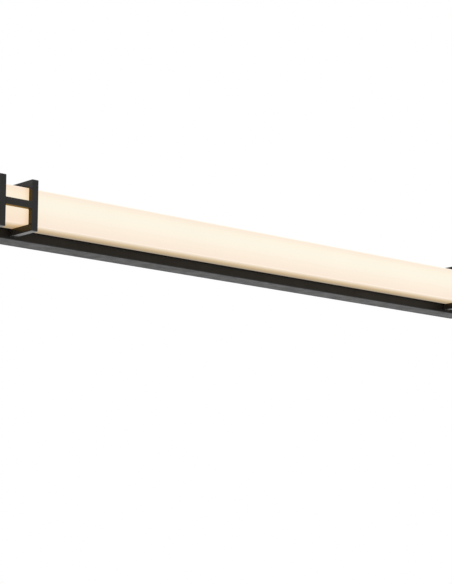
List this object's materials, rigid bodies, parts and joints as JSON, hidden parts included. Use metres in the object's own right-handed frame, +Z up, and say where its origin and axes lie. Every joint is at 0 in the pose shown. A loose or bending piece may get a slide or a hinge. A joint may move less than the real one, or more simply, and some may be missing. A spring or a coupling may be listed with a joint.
{
  "type": "vanity light bar",
  "caption": "Wall vanity light bar: long black box canopy, glowing opal rectangular diffuser, and an H-fronted black cage of square bars at each end.",
  "frame": {"origin": "middle of the wall rail's back face, on the wall", "axes": "+X along the bar, to the right for someone facing the wall; +Y into the wall; +Z up"},
  "size_m": [0.97, 0.0862, 0.0737],
  "materials": {
    "cage_paint": "matte black powder coat",
    "canopy_paint": "matte black powder coat",
    "opal": "opal acrylic, lit warm white",
    "zinc": "zinc plated",
    "black_aluminium": "black anodised extrusion",
    "black_screw": "black oxide",
    "board": "white solder mask",
    "nylon": "natural nylon",
    "driver_plastic": "moulded",
    "circuit": "green solder mask",
    "rubber": "moulded",
    "lead_black": "insulation",
    "lead_white": "insulation",
    "lead_green": "insulation",
    "lead_red": "insulation",
    "brass": "plain"
  },
  "bodies": {
    "wall_side": {"mounting_rail": "zinc", "rail_ear_left": "zinc", "rail_ear_right": "zinc", "rail_nut_left": "zinc", "rail_nut_right": "zinc", "side_screw_left": "black_screw", "side_screw_right": "black_screw", "rail_earth_screw": "brass"},
    "fitting": {"canopy": "canopy_paint", "canopy_end_left": "canopy_paint", "canopy_end_right": "canopy_paint", "hoop_left_outer": "cage_paint", "hoop_left_inner": "cage_paint", "rung_left": "cage_paint", "hoop_screw_left_outer_top": "zinc", "hoop_screw_left_outer_bottom": "zinc", "hoop_screw_left_inner_top": "zinc", "hoop_screw_left_inner_bottom": "zinc", "hoop_right_outer": "cage_paint", "hoop_right_inner": "cage_paint", "rung_right": "cage_paint", "hoop_screw_right_outer_top": "zinc", "hoop_screw_right_outer_bottom": "zinc", "hoop_screw_right_inner_top": "zinc", "hoop_screw_right_inner_bottom": "zinc", "led_channel": "black_aluminium", "channel_screw_1": "zinc", "channel_screw_2": "zinc", "channel_screw_3": "zinc", "channel_screw_4": "zinc", "channel_screw_5": "zinc", "led_board_1": "board", "led_board_2": "board", "led_board_3": "board", "led_board_4": "board", "board_jumper_1": "nylon", "board_jumper_2": "nylon", "board_jumper_3": "nylon", "diffuser": "opal", "end_cap_left": "cage_paint", "cap_screw_left_top": "black_screw", "cap_screw_left_bottom": "black_screw", "end_cap_right": "cage_paint", "cap_screw_right_top": "black_screw", "cap_screw_right_bottom": "black_screw", "driver_case": "driver_plastic", "driver_cover": "driver_plastic", "driver_board": "circuit", "driver_screw_1": "zinc", "driver_screw_2": "zinc", "terminal_block": "nylon", "block_screw": "zinc", "lead_grommet": "rubber", "earth_terminal": "brass", "earth_screw": "brass", "lead_line": "lead_black", "lead_neutral": "lead_white", "lead_earth": "lead_green", "lead_positive": "lead_red", "lead_negative": "lead_black"}
  },
  "joints": [
    {"name": "fitting_off_rail", "type": "slide", "parent": "wall_side", "child": "fitting", "axis": [0, -1, 0], "range_m": [0, 0.019]}
  ]
}
